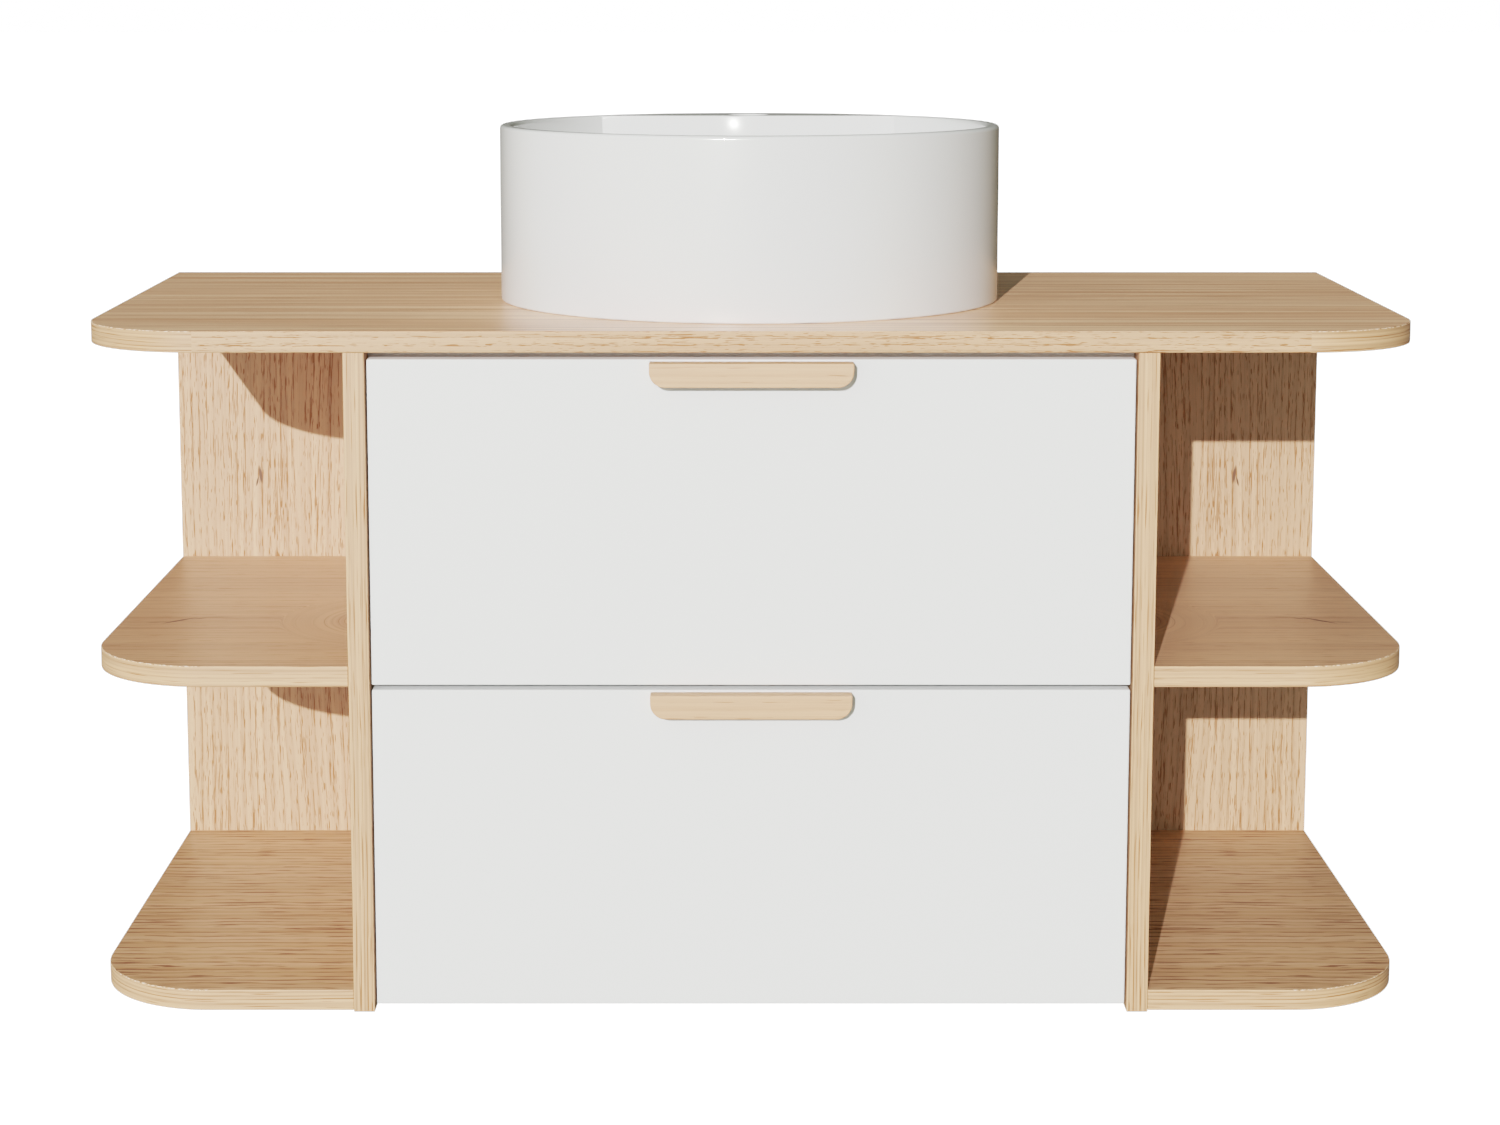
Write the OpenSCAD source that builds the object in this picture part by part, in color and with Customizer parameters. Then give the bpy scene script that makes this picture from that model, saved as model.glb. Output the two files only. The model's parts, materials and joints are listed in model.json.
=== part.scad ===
// Wall-hung washstand: an oak veneered worktop and open end shelves around a two-drawer cabinet,
// with a round vessel basin on top.
// X runs to the right, Y towards the wall and Z up. The origin is the centre of the four wall
// screws, on the wall plane.

/* [Overall] */
// Width of the worktop over both rounded ends
top_w = 1000; // [940:10:1100]
// Depth from the wall plane to the worktop's front edge
depth = 460; // [450:5:500]
// Height from the underside of the uprights to the worktop's top face
carcass_h = 518; // [510:2:560]
// Width of the drawer cabinet over its uprights
cabinet_w = 600; // [560:10:680]
// Radius of the front corners of the worktop and of the shelves
corner_r = 90; // [50:5:120]

/* [Boards] */
// Thickness of the veneered boards and of the drawer fronts
board = 16; // [15:1:18]
// Thickness of the drawer box sides
box_board = 12; // [10:1:14]
// Thickness of the drawer bottoms
box_floor = 8; // [6:1:10]
// Distance that the uprights stand back from the worktop's front edge
upright_setback = 1; // [0:0.5:4]
// Distance that the shelves stand back from the uprights' front edges
shelf_setback = 1; // [0:0.5:4]
// Height of the middle shelves' top face above the uprights' underside
mid_shelf_h = 267; // [240:1:300]
// Height of the bottom shelves' underside above the uprights' underside
shelf_lift = 1; // [0:0.5:4]

/* [Drawer fronts] */
// Height of the top drawer's front
top_front_h = 244.5; // [235:0.5:250]
// Gap between the worktop and the top drawer's front
top_reveal = 5; // [3:0.5:8]
// Gap between the two drawer fronts
front_gap = 3.5; // [2:0.5:5]
// Height of the bottom drawer front's lower edge above the uprights' underside
bottom_reveal = 6; // [4:0.5:10]
// Gap between a drawer front and each upright
side_gap = 1.5; // [1:0.5:3]
// Distance that the drawer fronts stand back from the uprights' front edges
front_setback = 1; // [0:0.5:3]

/* [Handles] */
// Length of each handle
handle_w = 150; // [100:5:200]
// Height of each handle
handle_h = 18; // [16:1:24]
// Distance that each handle stands out from its drawer front
handle_out = 14; // [10:1:16]
// Radius of the handles' lower corners
handle_r = 12; // [8:1:14]
// Distance from a drawer front's top edge down to its handle
handle_drop = 1.5; // [1:0.5:4]

/* [Drawer boxes] */
// Travel of each drawer from closed to fully open
travel = 380; // [340:10:390]
// Length of the drawer boxes behind their fronts
box_l = 400; // [396:2:406]
// Height of the top drawer's box sides
top_box_h = 150; // [130:2:154]
// Height of the bottom drawer's box sides
low_box_h = 180; // [170:2:190]
// Width of the recess around the trap in the top drawer
recess_w = 150; // [130:10:200]
// Length of that recess, from the back of the drawer box
recess_l = 250; // [240:5:270]

/* [Basin] */
// Outer diameter of the basin
basin_d = 400; // [380:5:410]
// Height of the basin above the worktop
basin_h = 140; // [120:5:160]
// Distance from the wall plane to the basin's centre
basin_from_wall = 216; // [212:1:222]
// Thickness of the basin's wall
basin_wall = 10; // [8:1:12]
// Distance from the basin's centre to the flat wall in front of the tap deck
deck_from_centre = 144; // [140:1:146]
// Diameter of the tap hole
tap_hole_d = 32; // [30:1:34]

/* [Hidden] */

// Wall fixings: two plates, each with an upper and a lower screw hole.
plate_t = 2.5;
plate_w = 46;
plate_x = 250;
screw_r = 3.5;
screw_pitch = 60;
plate_h = 76;
fixing_h = 450;

// Heights, from the uprights' underside to the top of the basin.
base_z = -fixing_h;
top_z = base_z + carcass_h;
under_z = top_z - board;
mid_z = base_z + mid_shelf_h;
basin_z = top_z;
rim_z = basin_z + basin_h;

// Depths, from the worktop's front edge to the wall plane.
front_y = -depth;
upright_y = front_y + upright_setback;
shelf_y = upright_y + shelf_setback;
face_y = upright_y + front_setback;
panel_y = face_y + board;
back_gap = 10;
rail_y = -back_gap - board;
basin_y = -basin_from_wall;

// Half widths.
top_x = top_w / 2;
outer_x = cabinet_w / 2;
inner_x = outer_x - board;
front_x = inner_x - side_gap;

// Cabinet boards behind the drawer fronts.
rail_front_y = panel_y + 6;
front_rail_depth = 80;
top_rail_h = 120;
low_rail_h = 90;
notch_h = 94;
notch_w = inner_x - plate_x + plate_w / 2 + 2;

// Dowels.
dowel_r = 3.95;
dowel_bore_r = 4;
dowel_in_board = 10;
dowel_in_shelf = 22;
dowel_end_gap = 0.5;
shelf_dowel_y = [-380, -90];
shelf_dowel_x = [350, 450];

// Drawer slides, with a fixed, a middle and a drawer member on each side.
slide_gap = 12.7;
slide_h = 45;
slide_l = 400;
slide_y = rail_front_y + 2;
sheet = 1.2;
mid_slide_u = 4;
mid_slide_h = 37.5;
in_slide_h = 30;
flange = 6;
box_x = inner_x - slide_gap;

// Drawer boxes.
box_back_y = panel_y + box_l;
low_front_z = base_z + bottom_reveal;
top_front_z = under_z - top_reveal - top_front_h;
low_front_h = top_front_z - front_gap - low_front_z;
low_box_z = base_z + board + 8;
top_box_z = top_front_z + 12;
floor_lift = 6;
groove = 5;
slide_lift = 12;
recess_x = recess_w / 2;

// Handle grip and screws.
grip_deep = 6.5;
grip_high = 11;
grip_w = 120;
handle_screw_x = 50;
handle_screw_r = 1.95;
handle_head_r = 3.8;
handle_head_t = 2;
handle_screw_in = 9;

// Basin shell.
basin_r = basin_d / 2;
bowl_r = basin_r - basin_wall;
rim_r = 3;
foot_h = 18;
bowl_floor_h = 28;
bowl_fillet = 25;
boss_r = 45;
deck_t = 12;
deck_wall = 9;
tap_from_centre = deck_from_centre + 24;
seal_t = 0.8;

// Waste and trap.
waste_hole_r = 22.5;
waste_r = 20.8;
waste_bore_r = 17;
flange_r = 31;
flange_t = 3;
stem_r = 4;
stem_bore_r = 4.05;
plug_r = 29;
plug_t = 5;
plug_gap = 0.4;
stem_l = 34;
top_waste_r = 25;
hose_r = 17;
hose_from_centre = tap_from_centre + 4;
waste_end_z = under_z - 44;
nut_r = 29;
nut_t = 9;
washer_t = 3;
bottle_r = 31;
bottle_wall = 2.5;
bottle_h = 92;
bottle_z = waste_end_z - 165;
dip_r = 15;
dip_wall = 1.5;
dip_end = 26;
coupling_h = 24;
coupling_lip = 3;
outlet_r = 16;
outlet_wall = 1.5;
outlet_z = bottle_z + 64;
collar_h = 16;
cap_h = 4;
spigot_l = 5;
spigot_y = basin_y + bottle_r + spigot_l;
outlet_nut_l = 20;
outlet_nut_lip = 5;
rosette_r = 32;
rosette_t = 8;

$fn = 96;

// A box between two limits on each axis.
module slab(x, y, z) {
    translate([x[0], y[0], z[0]]) cube([x[1] - x[0], y[1] - y[0], z[1] - z[0]]);
}

// Copies its children to the right side and, mirrored, to the left.
module both_sides() {
    children();
    mirror([1, 0, 0]) children();
}

// Places the left-hand copy of something drawn on the right.
module on_side(side) {
    if (side < 0) mirror([1, 0, 0]) children();
    else children();
}

// ---- Worktop, uprights and shelves ----

// Plan of a board from x0 to x1 with its front right corner rounded.
module rounded_plan(x0, x1, y0, y1) {
    translate([x0, y0]) square([x1 - x0 - corner_r, y1 - y0]);
    translate([x0, y0 + corner_r]) square([x1 - x0, y1 - y0 - corner_r]);
    translate([x1 - corner_r, y0 + corner_r]) circle(corner_r);
}

module worktop() {
    color("burlywood") difference() {
        translate([0, 0, under_z]) linear_extrude(board) {
            rounded_plan(-1, top_x, front_y, 0);
            mirror([1, 0]) rounded_plan(-1, top_x, front_y, 0);
        }
        translate([0, basin_y, under_z - 1]) cylinder(r = top_waste_r, h = board + 2);
        translate([0, basin_y + hose_from_centre, under_z - 1]) cylinder(r = hose_r, h = board + 2);
    }
}

// Blind holes along X in an upright for the shelf dowels.
module upright(side) {
    color("wheat") on_side(side) difference() {
        slab([inner_x, outer_x], [upright_y, 0], [base_z, under_z]);
        for (z = shelf_centres(), y = shelf_dowel_y)
            translate([outer_x - dowel_in_board, y, z]) rotate([0, 90, 0])
                cylinder(r = dowel_bore_r, h = dowel_in_board + 1);
    }
}

function shelf_centres() = [base_z + shelf_lift + board / 2, mid_z - board / 2];

module back_panel(side) {
    color("wheat") on_side(side) difference() {
        slab([outer_x, top_x], [-board, 0], [base_z + shelf_lift, under_z]);
        for (z = shelf_centres(), x = shelf_dowel_x)
            translate([x, -board - 1, z]) rotate([-90, 0, 0])
                cylinder(r = dowel_bore_r, h = dowel_in_board + 1);
    }
}

// A shelf whose top face is at z, with dowel holes in its end and its back edge.
module shelf(side, z) {
    color("burlywood") on_side(side) difference() {
        translate([0, 0, z - board]) linear_extrude(board)
            rounded_plan(outer_x, top_x, shelf_y, -board);
        for (y = shelf_dowel_y)
            translate([outer_x - 1, y, z - board / 2]) rotate([0, 90, 0])
                cylinder(r = dowel_bore_r, h = dowel_in_shelf + 1);
        for (x = shelf_dowel_x)
            translate([x, -board + 1, z - board / 2]) rotate([90, 0, 0])
                cylinder(r = dowel_bore_r, h = dowel_in_shelf + 1);
    }
}

module shelf_dowels(side) {
    dowel_l = dowel_in_board + dowel_in_shelf - 2 * dowel_end_gap;
    color("tan") on_side(side) for (z = shelf_centres()) {
        for (y = shelf_dowel_y)
            translate([outer_x - dowel_in_board + dowel_end_gap, y, z]) rotate([0, 90, 0])
                cylinder(r = dowel_r, h = dowel_l);
        for (x = shelf_dowel_x)
            translate([x, -board + dowel_in_board - dowel_end_gap, z]) rotate([90, 0, 0])
                cylinder(r = dowel_r, h = dowel_l);
    }
}

// ---- Cabinet ----

module cabinet_floor() {
    color("white") slab([-inner_x, inner_x], [rail_front_y, rail_y], [base_z, base_z + board]);
}

module front_rail() {
    color("gainsboro")
        slab([-inner_x, inner_x], [rail_front_y, rail_front_y + front_rail_depth], [under_z - board, under_z]);
}

// Rail under the worktop, notched at both ends for the hangers and wall plates.
module back_rail_top() {
    color("white") difference() {
        slab([-inner_x, inner_x], [rail_y, -back_gap], [under_z - top_rail_h, under_z]);
        both_sides() slab([inner_x - notch_w, inner_x + 1], [rail_y - 1, 1], [under_z - notch_h, under_z + 1]);
    }
}

module back_rail_bottom() {
    color("white") slab([-inner_x, inner_x], [rail_y, -back_gap], [base_z, base_z + low_rail_h]);
}

// Four steel angles that screw the uprights to the worktop.
module worktop_brackets() {
    leg = 30;
    width = 20;
    steel = 2;
    color("silver") both_sides() for (y = [-300, -130])
        translate([inner_x, y, under_z]) rotate([0, 180, 0]) difference() {
            union() {
                cube([leg, width, steel]);
                cube([steel, width, leg]);
            }
            translate([leg * 0.6, width / 2, -1]) cylinder(r = 2.2, h = steel + 2);
            translate([-1, width / 2, leg * 0.6]) rotate([0, 90, 0]) cylinder(r = 2.2, h = steel + 2);
        }
}

// ---- Hangers and wall plates ----

lip_gap = 5;
lip_t = 2.5;
lip_z = [-18, 12];
hook_t = 3.8;
hook_w = 30;
hanger_w = 15;
hanger_y = [-92, rail_y - 6];
hanger_z = [-30, 34];

// A housing screwed to the upright, with a hook that drops behind the wall plate's lip.
module hanger(side) {
    hook_x = [inner_x - 0.1 - hook_w, inner_x - 0.1];
    color("lightgray") on_side(side) difference() {
        union() {
            slab([inner_x - 0.1 - hanger_w, inner_x - 0.1], hanger_y, hanger_z);
            slab(hook_x, [hanger_y[1] - 12, -plate_t - 0.6], [lip_z[1], lip_z[1] + 5]);
            slab(hook_x, [-plate_t - 0.6 - hook_t, -plate_t - 0.6], [lip_z[0] + 6, lip_z[1] + 1]);
        }
        for (y = [hanger_y[0] + 12, hanger_y[0] + 34])
            translate([inner_x - hanger_w - 1, y, 24]) rotate([0, 90, 0]) cylinder(r = 2.5, h = hanger_w + 2);
    }
}

// Two steel plates, each with an upright lip in front of it and two screw holes.
module wall_plates() {
    lip_y = -plate_t - lip_gap;
    x = [plate_x - plate_w / 2, plate_x + plate_w / 2];
    color("silver") both_sides() difference() {
        union() {
            slab(x, [-plate_t, 0], [-plate_h / 2, plate_h / 2]);
            slab(x, [lip_y - lip_t, -plate_t / 2], [lip_z[0] - lip_t, lip_z[0]]);
            slab(x, [lip_y - lip_t, lip_y], [lip_z[0] - lip_t, lip_z[1]]);
        }
        for (z = [-screw_pitch / 2, screw_pitch / 2])
            translate([plate_x, 1, z]) rotate([90, 0, 0]) cylinder(r = screw_r, h = plate_t + 2);
    }
}

// ---- Drawer slides ----

// A channel of bent sheet: web at u0 from the upright's face, flanges towards u1.
module channel(u0, u1, height, y0, length) {
    web = u1 > u0 ? [u0, u0 + sheet] : [u0 - sheet, u0];
    low = min(u0, u1);
    high = max(u0, u1);
    slab([inner_x - web[1], inner_x - web[0]], [y0, y0 + length], [-height / 2, height / 2]);
    for (z = [-height / 2, height / 2 - sheet])
        slab([inner_x - high, inner_x - low], [y0, y0 + length], [z, z + sheet]);
}

function slide_z(box_z) = box_z + slide_lift + slide_h / 2;

module cabinet_rails(box_z) {
    color("silver") both_sides() translate([0, 0, slide_z(box_z)])
        channel(0, slide_gap - 3, slide_h, slide_y, slide_l);
}

module middle_rails(box_z) {
    color("lightsteelblue") both_sides() translate([0, 0, slide_z(box_z)])
        channel(mid_slide_u, mid_slide_u + flange, mid_slide_h, slide_y, slide_l);
}

module drawer_rails(box_z) {
    color("silver") both_sides() translate([0, 0, slide_z(box_z)])
        channel(slide_gap, slide_gap - flange, in_slide_h, slide_y, slide_l - 5);
}

// ---- Drawer fronts and handles ----

// A front from z to z + height, drilled and countersunk from behind for its handle's screws.
module drawer_front(z, height) {
    color("whitesmoke") difference() {
        slab([-front_x, front_x], [face_y, panel_y], [z, z + height]);
        for (s = [-1, 1]) translate([s * handle_screw_x, panel_y, screw_z(z + height)]) rotate([90, 0, 0]) {
            translate([0, 0, -1]) cylinder(r = handle_screw_r + 0.3, h = board + 2);
            translate([0, 0, -1]) cylinder(r = handle_head_r + 0.3, h = handle_head_t + 1.4);
        }
    }
}

// The screws sit in the solid upper part of the handle, above its grip.
function screw_z(front_top) = front_top - handle_drop - (handle_h - grip_high) / 2;

// Front view of a handle, with square upper and rounded lower corners.
module handle_outline() {
    intersection() {
        translate([-handle_w / 2, 0]) square([handle_w, handle_h]);
        union() {
            translate([-handle_w / 2, handle_r]) square([handle_w, handle_h]);
            translate([handle_r - handle_w / 2, -1]) square([handle_w - 2 * handle_r, handle_h + 2]);
            for (s = [-1, 1]) translate([s * (handle_w / 2 - handle_r), handle_r]) circle(handle_r);
        }
    }
}

// A bar against the front, with a finger grip cut up into it from below and behind.
module handle(front_top) {
    z = front_top - handle_drop - handle_h;
    color("tan") difference() {
        translate([0, face_y, z]) rotate([90, 0, 0]) linear_extrude(handle_out) handle_outline();
        slab([-grip_w / 2, grip_w / 2], [face_y - grip_deep, face_y + 1], [z - 1, z + grip_high]);
        for (s = [-1, 1]) translate([s * handle_screw_x, face_y + 1, screw_z(front_top)]) rotate([90, 0, 0])
            cylinder(r = handle_screw_r + 0.05, h = handle_screw_in + 1.5);
    }
}

module handle_screws(front_top) {
    color("dimgray") for (s = [-1, 1])
        translate([s * handle_screw_x, panel_y - 0.3, screw_z(front_top)]) rotate([90, 0, 0]) {
            cylinder(r = handle_head_r, h = handle_head_t);
            cylinder(r = handle_screw_r, h = board - 0.3 + handle_screw_in);
        }
}

// ---- Drawer boxes ----

module box_sides(z, height) {
    color("gainsboro") both_sides() difference() {
        slab([box_x - box_board, box_x], [panel_y, box_back_y], [z, z + height]);
        slab([box_x - box_board - 1, box_x - box_board + groove], [panel_y - 1, box_back_y + 1],
            [z + floor_lift, z + floor_lift + box_floor]);
    }
}

module box_inner_front(z, height) {
    color("gainsboro") slab([box_board - box_x, box_x - box_board], [panel_y, panel_y + box_board],
        [z + floor_lift + box_floor, z + height]);
}

// Floor plate in the sides' grooves, from the drawer front to the back of the box.
module floor_plate(z) {
    edge = box_x - box_board + groove - 0.2;
    slab([-edge, edge], [panel_y, box_back_y], [z + floor_lift + 0.1, z + floor_lift + box_floor - 0.1]);
}

module box_back(z, height) {
    color("gainsboro") slab([box_board - box_x, box_x - box_board], [box_back_y - box_board, box_back_y],
        [z + floor_lift + box_floor, z + height]);
}

// The two short backs beside the recess for the trap.
module split_backs(z, height) {
    color("gainsboro") both_sides()
        slab([recess_x + box_board, box_x - box_board], [box_back_y - box_board, box_back_y],
            [z + floor_lift + box_floor, z + height]);
}

module recess_sides(z, height) {
    color("gainsboro") both_sides()
        slab([recess_x, recess_x + box_board], [box_back_y - recess_l - box_board, box_back_y],
            [z + floor_lift + box_floor, z + height]);
}

module recess_end(z, height) {
    color("gainsboro") slab([-recess_x, recess_x], [box_back_y - recess_l - box_board, box_back_y - recess_l],
        [z + floor_lift + box_floor, z + height]);
}

module notched_floor(z) {
    color("white") difference() {
        floor_plate(z);
        slab([-recess_x, recess_x], [box_back_y - recess_l, box_back_y + 1], [z, z + floor_lift + box_floor + 1]);
    }
}

// ---- Basin ----

// Half section of the round shell: wall with a rounded rim, floor, fillet and centre boss.
module shell_section() {
    translate([bowl_r, 0]) square([basin_wall, basin_h - rim_r]);
    translate([bowl_r + rim_r, 0]) square([basin_wall - 2 * rim_r, basin_h]);
    for (x = [bowl_r + rim_r, basin_r - rim_r]) translate([x, basin_h - rim_r]) circle(rim_r);
    translate([0, foot_h]) square([bowl_r + 1, bowl_floor_h - foot_h]);
    translate([0, seal_t]) square([boss_r, foot_h]);
    difference() {
        translate([bowl_r - bowl_fillet, foot_h]) square([bowl_fillet + 1, bowl_floor_h - foot_h + bowl_fillet]);
        translate([bowl_r - bowl_fillet, bowl_floor_h + bowl_fillet]) circle(bowl_fillet);
    }
}

// Part of a disc of radius r behind a line at y.
module back_segment(r, y) {
    intersection() {
        circle(r);
        translate([-r, y]) square([2 * r, r]);
    }
}

module basin() {
    color("white") translate([0, basin_y, basin_z]) difference() {
        union() {
            rotate_extrude($fn = 180) shell_section();
            translate([0, 0, foot_h]) linear_extrude(basin_h - foot_h)
                back_segment(bowl_r + basin_wall / 2, deck_from_centre);
        }
        translate([0, 0, -1]) linear_extrude(basin_h - deck_t + 1)
            back_segment(bowl_r, deck_from_centre + deck_wall);
        translate([0, 0, -1]) cylinder(r = waste_hole_r, h = bowl_floor_h + 2);
        translate([0, tap_from_centre, basin_h - deck_t - 1]) cylinder(r = tap_hole_d / 2, h = deck_t + 2);
    }
}

// A thin sealing ring between the basin's boss and the worktop.
module basin_seal() {
    color("gray") translate([0, basin_y, basin_z]) difference() {
        cylinder(r = boss_r - 2, h = seal_t - 0.05);
        translate([0, 0, -1]) cylinder(r = top_waste_r + 1, h = 3);
    }
}

// ---- Waste and trap ----

// A flanged tube through the basin and the worktop, with a guide for the plug's stem.
module waste_body() {
    seat_z = basin_z + bowl_floor_h;
    color("silver") translate([0, basin_y, 0]) difference() {
        union() {
            difference() {
                union() {
                    translate([0, 0, seat_z + 0.05]) cylinder(r = flange_r, h = flange_t);
                    translate([0, 0, waste_end_z]) cylinder(r = waste_r, h = seat_z + 1 - waste_end_z);
                }
                translate([0, 0, waste_end_z - 1]) cylinder(r = waste_bore_r, h = seat_z + 10 - waste_end_z);
            }
            translate([0, 0, seat_z - 20]) cylinder(r = 7, h = 14);
            for (a = [0, 90]) rotate(a) translate([-waste_bore_r - 1, -1, seat_z - 20])
                cube([2 * waste_bore_r + 2, 2, 6]);
        }
        translate([0, 0, seat_z - 21]) cylinder(r = stem_bore_r, h = 16);
    }
}

// Domed cap on a stem that slides in the guide.
module waste_plug() {
    seat_z = basin_z + bowl_floor_h + 0.05 + flange_t + plug_gap;
    dome_r = (plug_r * plug_r + plug_t * plug_t) / (2 * plug_t);
    color("silver") translate([0, basin_y, seat_z]) {
        cylinder(r = plug_r, h = 1.5);
        translate([0, 0, 1.5]) rotate_extrude() intersection() {
            translate([0, plug_t - dome_r]) circle(dome_r, $fn = 360);
            square([plug_r, plug_t]);
        }
        translate([0, 0, -stem_l]) cylinder(r = stem_r, h = stem_l);
    }
}

module ring(r_out, r_in, z, height) {
    translate([0, basin_y, z]) difference() {
        cylinder(r = r_out, h = height);
        translate([0, 0, -1]) cylinder(r = r_in, h = height + 2);
    }
}

module waste_washer() {
    color("black") ring(nut_r + 3, waste_r + 0.3, under_z - washer_t - 0.05, washer_t);
}

// Hexagonal nut that clamps the waste under the worktop.
module waste_backnut() {
    color("silver") translate([0, basin_y, under_z - washer_t - nut_t - 0.1]) difference() {
        cylinder(r = nut_r + 2, h = nut_t, $fn = 6);
        translate([0, 0, -1]) cylinder(r = waste_r + 0.1, h = nut_t + 2);
    }
}

// Coupling nut that joins the trap's dip tube to the waste's tail, with a lip below the tube's flange.
module trap_nut() {
    color("silver") {
        ring(waste_r + 4, waste_r + 0.1, waste_end_z - coupling_h / 2, coupling_h);
        ring(waste_r + 4, dip_r + 0.1, waste_end_z - coupling_h / 2 - coupling_lip, coupling_lip);
    }
}

module trap_dip_tube() {
    color("silver") {
        ring(dip_r, dip_r - dip_wall, bottle_z + dip_end, waste_end_z - 0.1 - bottle_z - dip_end);
        ring(waste_r - 0.2, dip_r - dip_wall, waste_end_z - coupling_h / 2 + 0.1, coupling_h / 2 - 0.2);
    }
}

// Cup around the dip tube, with a collar at the top, a screwed cap below and a side spigot.
module trap_bottle() {
    color("silver") translate([0, basin_y, bottle_z]) difference() {
        union() {
            cylinder(r = bottle_r, h = bottle_h);
            translate([0, 0, bottle_h - 1]) cylinder(r = dip_r + 5, h = collar_h + 1);
            translate([0, 0, -cap_h]) cylinder(r = bottle_r - 6, h = cap_h + 1);
            translate([0, 0, outlet_z - bottle_z]) rotate([-90, 0, 0])
                cylinder(r = outlet_r + 1, h = bottle_r + spigot_l);
        }
        translate([0, 0, bottle_wall]) cylinder(r = bottle_r - bottle_wall, h = bottle_h - 2 * bottle_wall);
        translate([0, 0, bottle_h - bottle_wall - 1]) cylinder(r = dip_r + 0.1, h = collar_h + bottle_wall + 2);
        translate([0, 0, outlet_z - bottle_z]) rotate([-90, 0, 0])
            cylinder(r = outlet_r - outlet_wall, h = bottle_r + spigot_l + 1);
    }
}

module trap_outlet_nut() {
    color("silver") translate([0, spigot_y + 0.1, outlet_z]) rotate([-90, 0, 0]) difference() {
        cylinder(r = outlet_r + 4, h = outlet_nut_l);
        translate([0, 0, outlet_nut_lip]) cylinder(r = outlet_r + 0.1, h = outlet_nut_l);
        translate([0, 0, -1]) cylinder(r = outlet_r - outlet_wall, h = outlet_nut_l);
    }
}

// Straight pipe from the outlet nut to the wall plane.
module trap_outlet() {
    start_y = spigot_y + outlet_nut_lip + 0.2;
    color("silver") translate([0, start_y, outlet_z]) rotate([-90, 0, 0]) difference() {
        cylinder(r = outlet_r, h = -start_y);
        translate([0, 0, -1]) cylinder(r = outlet_r - outlet_wall, h = 2 - start_y);
    }
}

// Cover plate where the pipe enters the wall.
module wall_rosette() {
    color("silver") translate([0, -rosette_t, outlet_z]) rotate([-90, 0, 0]) difference() {
        cylinder(r1 = rosette_r - 6, r2 = rosette_r, h = rosette_t);
        translate([0, 0, -1]) cylinder(r = outlet_r + 0.15, h = rosette_t + 2);
    }
}

worktop();
upright(-1);  // upright_left
upright(1);  // upright_right
back_panel(-1);  // back_panel_left
back_panel(1);  // back_panel_right
shelf(-1, mid_z);  // mid_shelf_left
shelf(1, mid_z);  // mid_shelf_right
shelf(-1, base_z + shelf_lift + board);  // bottom_shelf_left
shelf(1, base_z + shelf_lift + board);  // bottom_shelf_right
cabinet_floor();
front_rail();
back_rail_top();
back_rail_bottom();
shelf_dowels(-1);  // shelf_dowels_left
shelf_dowels(1);  // shelf_dowels_right
worktop_brackets();
hanger(-1);  // hanger_left
hanger(1);  // hanger_right
wall_plates();
cabinet_rails(top_box_z);  // cabinet_rails_top
cabinet_rails(low_box_z);  // cabinet_rails_bottom
basin();
basin_seal();
waste_body();
waste_plug();
waste_washer();
waste_backnut();
trap_nut();
trap_dip_tube();
trap_bottle();
trap_outlet_nut();
trap_outlet();
wall_rosette();
drawer_front(top_front_z, top_front_h);  // top_front
handle(top_front_z + top_front_h);  // top_handle
handle_screws(top_front_z + top_front_h);  // top_handle_screws
box_sides(top_box_z, top_box_h);  // top_box_sides
box_inner_front(top_box_z, top_box_h);  // top_box_inner_front
split_backs(top_box_z, top_box_h);  // top_box_backs
notched_floor(top_box_z);  // top_box_floor
recess_sides(top_box_z, top_box_h);  // top_recess_sides
recess_end(top_box_z, top_box_h);  // top_recess_end
drawer_rails(top_box_z);  // top_drawer_rails
drawer_front(low_front_z, low_front_h);  // bottom_front
handle(low_front_z + low_front_h);  // bottom_handle
handle_screws(low_front_z + low_front_h);  // bottom_handle_screws
box_sides(low_box_z, low_box_h);  // bottom_box_sides
box_inner_front(low_box_z, low_box_h);  // bottom_box_inner_front
box_back(low_box_z, low_box_h);  // bottom_box_back
color("white") floor_plate(low_box_z);  // bottom_box_floor
drawer_rails(low_box_z);  // bottom_drawer_rails
middle_rails(top_box_z);  // middle_rails_top
middle_rails(low_box_z);  // middle_rails_bottom
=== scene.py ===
import json
import math

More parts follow.
